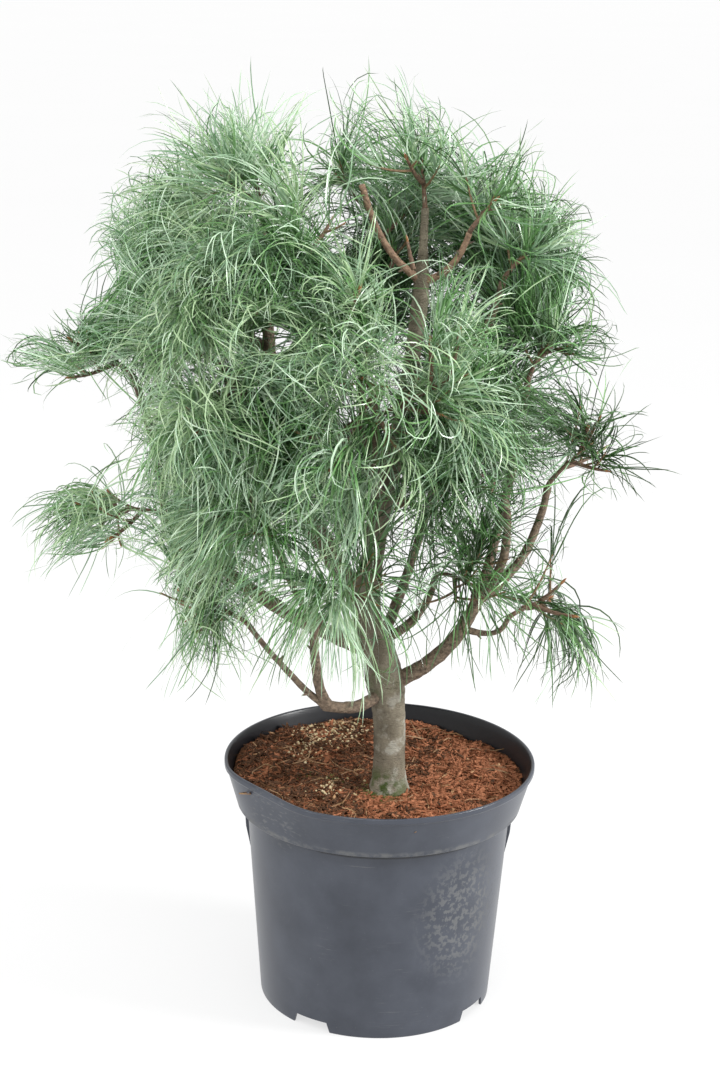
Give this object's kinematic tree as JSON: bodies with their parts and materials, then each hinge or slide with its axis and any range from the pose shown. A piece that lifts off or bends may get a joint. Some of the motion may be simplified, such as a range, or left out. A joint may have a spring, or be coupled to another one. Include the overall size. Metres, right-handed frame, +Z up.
{
  "type": "potted curly white pine",
  "caption": "Young curly-needled white pine in a round nursery pot: leaning trunk, forked stems and a broad rounded crown of long drooping needles.",
  "frame": {"origin": "middle of the flat foot under the pot, on the pot's axis, at the level that the pot stands on", "axes": "+Z up along the pot's axis, towards the top of the crown. +X to the right and -Y towards the viewer, as the plant is seen from its front, with the long low-left bough at -X."},
  "size_m": [0.5243, 0.386, 0.7816],
  "materials": {
    "pot": "semi-gloss dark blue-grey plastic with dust and fine scratches",
    "soil": "rough shredded bark compost",
    "bark": "matt grey-brown bark with fine lenticels",
    "needles": "satin blue-green needles"
  },
  "bodies": {
    "root": {"pot": "pot", "soil": "soil", "trunk": "bark", "left_stem": "bark", "leader_left": "bark", "leader_right": "bark", "bough_upper_left": "bark", "bough_mid_left": "bark", "bough_low_left": "bark", "bough_far_left": "bark", "low_arm": "bark", "low_arm_rise": "bark", "low_arm_left": "bark", "low_arm_right": "bark", "low_arm_side": "bark", "bough_right": "bark", "right_inner": "bark", "right_outer": "bark", "right_low_twig": "bark", "right_rise": "bark", "bough_upper_right": "bark", "bough_mid_right": "bark", "bough_low_back": "bark", "back_left": "bark", "back_low_left": "bark", "back_centre": "bark", "back_right": "bark", "front_left": "bark", "front_bough": "bark", "needles_top_left": "needles", "needles_leader": "needles", "needles_top_right": "needles", "needles_left_crown": "needles", "needles_left_fork": "needles", "needles_upper_left": "needles", "needles_far_left": "needles", "needles_mid_left": "needles", "needles_low_left": "needles", "needles_arm_left": "needles", "needles_arm_right": "needles", "needles_arm_side": "needles", "needles_right_inner": "needles", "needles_right_far": "needles", "needles_right_low": "needles", "needles_right": "needles", "needles_upper_right": "needles", "needles_mid_right": "needles", "needles_low_back": "needles", "needles_low_back_right": "needles", "needles_back_left": "needles", "needles_back_low_left": "needles", "needles_back_centre": "needles", "needles_back_right": "needles", "needles_back_top": "needles", "needles_front_left": "needles", "needles_front_upper_left": "needles", "needles_front_centre": "needles", "needles_front_right": "needles", "needles_front_low": "needles", "needles_upper_front": "needles"}
  },
  "joints": []
}
